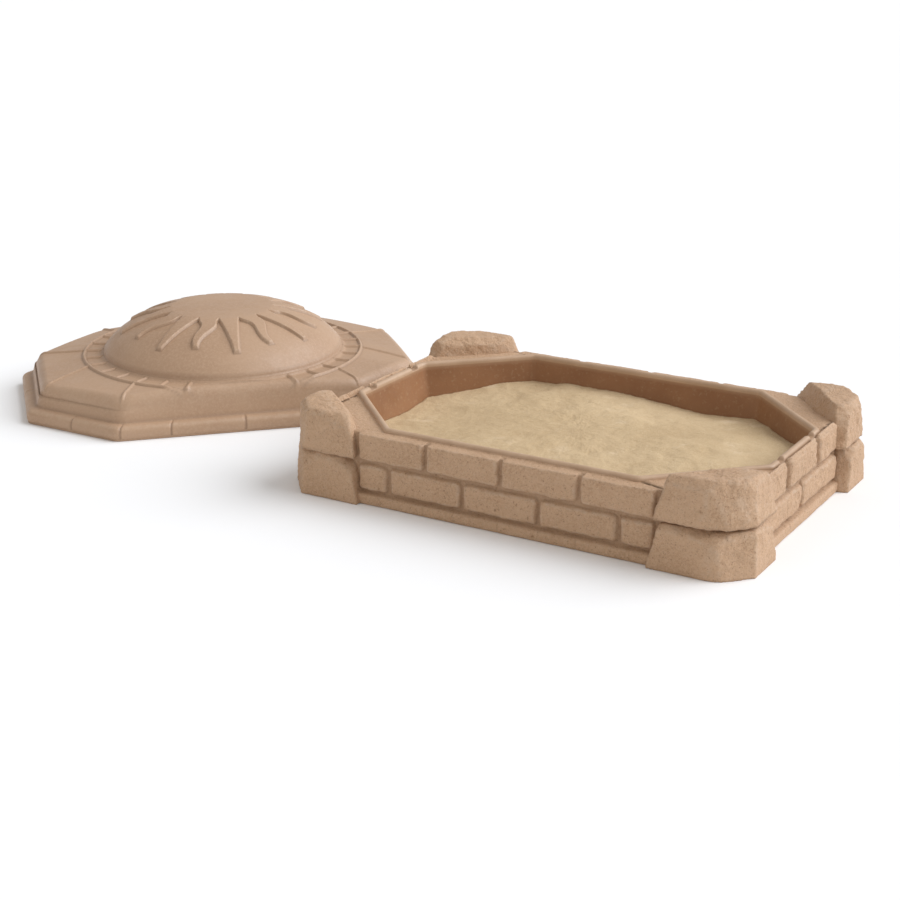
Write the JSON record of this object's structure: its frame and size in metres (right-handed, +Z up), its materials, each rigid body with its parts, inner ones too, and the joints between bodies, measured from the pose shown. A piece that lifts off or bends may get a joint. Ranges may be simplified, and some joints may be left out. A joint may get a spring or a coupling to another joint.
{
  "type": "sandbox with cover",
  "caption": "Octagonal basin with a block-wall base, raised corner stones and a rounded rim, filled with sand, and a loose domed cover with a raised sun.",
  "frame": {"origin": "middle of the base's flat underside, on the ground", "axes": "+X along the base's long side, +Y to its back, +Z up"},
  "size_m": [3.276, 1.5627, 0.357],
  "materials": {
    "granite_plastic": "matte, speckled",
    "sand": "matte",
    "tan_plastic": "matte"
  },
  "bodies": {
    "base": {"base": "granite_plastic", "sand_fill": "sand"},
    "cover": {"cover": "tan_plastic"}
  },
  "joints": [
    {"name": "cover_lift", "type": "slide", "parent": "base", "child": "cover", "axis": [0, 0, 1], "range_m": [0, 0.45]}
  ]
}
